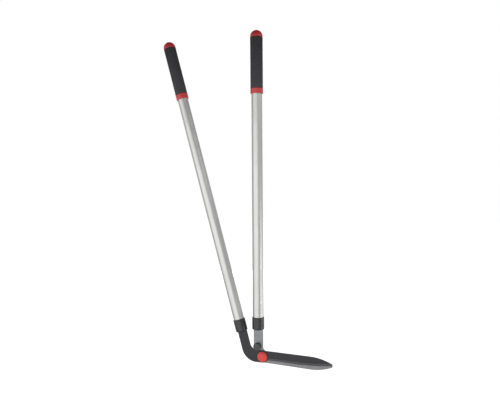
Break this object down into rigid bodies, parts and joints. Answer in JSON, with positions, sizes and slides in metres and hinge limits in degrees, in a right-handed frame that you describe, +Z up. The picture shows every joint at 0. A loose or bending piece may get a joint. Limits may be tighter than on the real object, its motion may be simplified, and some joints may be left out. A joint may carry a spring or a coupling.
{
  "type": "lawn edging shears",
  "caption": "Long-handled lawn edging shears: tubular handles with foam grips work flat L-shaped blades that cross at one capped pivot.",
  "frame": {"origin": "middle of the fixed handle's foam grip, on the handle's axis", "axes": "+Z up the fixed handle, +X towards the blade tips, +Y away from the side that carries the pivot cap"},
  "size_m": [0.5154, 0.0404, 0.9698],
  "materials": {
    "ground_steel": "fine ground, satin",
    "coated_steel": "smooth dark non-stick coating over steel",
    "aluminium": "satin drawn tube",
    "foam": "closed-cell foam, fine pores",
    "red_plastic": "moulded, semi-gloss",
    "black_plastic": "moulded, satin",
    "rubber": "moulded rubber",
    "nylon": "natural nylon",
    "zinc_steel": "zinc plated",
    "bronze": "sintered bronze"
  },
  "bodies": {
    "fixed_side": {"lower_blade": "ground_steel", "pivot_bush": "bronze", "bumper": "rubber", "fixed_ferrule": "black_plastic", "fixed_tang_plug": "nylon", "fixed_tang_rivet": "zinc_steel", "fixed_tube": "aluminium", "fixed_collar": "red_plastic", "fixed_foam_grip": "foam", "fixed_grip_cap": "red_plastic"},
    "moving_side": {"upper_blade": "coated_steel", "pivot_bolt": "zinc_steel", "pivot_cap": "red_plastic", "disc_spring": "zinc_steel", "plain_washer": "zinc_steel", "lock_nut": "zinc_steel", "nut_insert": "nylon", "moving_ferrule": "black_plastic", "moving_tang_plug": "nylon", "moving_tang_rivet": "zinc_steel", "moving_tube": "aluminium", "moving_collar": "red_plastic", "moving_foam_grip": "foam", "moving_grip_cap": "red_plastic"}
  },
  "joints": [
    {"name": "blade_pivot", "type": "hinge", "parent": "fixed_side", "child": "moving_side", "pos_m": [0.014, -0.0016, -0.84985], "axis": [0, -1, 0], "range_deg": [0, 40]}
  ]
}
